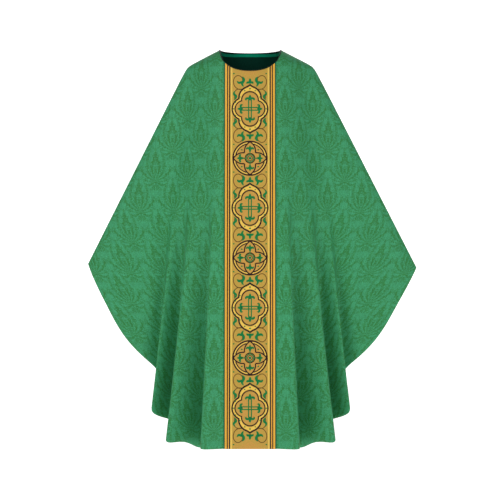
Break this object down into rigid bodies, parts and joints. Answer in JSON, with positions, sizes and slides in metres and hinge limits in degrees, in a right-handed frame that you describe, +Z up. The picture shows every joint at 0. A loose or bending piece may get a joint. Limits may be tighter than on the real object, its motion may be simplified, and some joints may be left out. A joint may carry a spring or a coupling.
{
  "type": "chasuble",
  "caption": "Ample lined chasuble, a sleeveless church outer vestment in green damask with a gold woven orphrey down the middle, hung as when worn.",
  "frame": {"origin": "middle of the neck opening, level with the two points where the shoulder line meets the neck", "axes": "+Z up, the front faces -Y, +X to the wearer's left"},
  "size_m": [1.0492, 0.4054, 1.2563],
  "materials": {
    "green_damask": "satin figured silk-look damask, tone on tone",
    "gold_orphrey": "woven brocade band with raised green and maroon figure",
    "orphrey_braid": "narrow ribbed braid",
    "lining": "plain smooth satin lining",
    "neck_facing": "plain smooth satin",
    "interlining": "stiff unbleached canvas",
    "hem_facing": "plain bias-cut strip",
    "stay_tape": "plain cotton tape",
    "neck_binding": "folded bias binding"
  },
  "bodies": {
    "root": {"front_panel_left": "green_damask", "front_lining_left": "lining", "front_orphrey_braid_left": "orphrey_braid", "front_panel_right": "green_damask", "front_lining_right": "lining", "front_orphrey_braid_right": "orphrey_braid", "front_orphrey": "gold_orphrey", "front_orphrey_interlining": "interlining", "front_neck_facing": "neck_facing", "front_hem_facing": "hem_facing", "back_panel_left": "green_damask", "back_lining_left": "lining", "back_orphrey_braid_left": "orphrey_braid", "back_panel_right": "green_damask", "back_lining_right": "lining", "back_orphrey_braid_right": "orphrey_braid", "back_orphrey": "gold_orphrey", "back_orphrey_interlining": "interlining", "back_neck_facing": "neck_facing", "back_hem_facing": "hem_facing", "left_shoulder_stay_tape": "stay_tape", "right_shoulder_stay_tape": "stay_tape", "neck_binding": "neck_binding"}
  },
  "joints": []
}
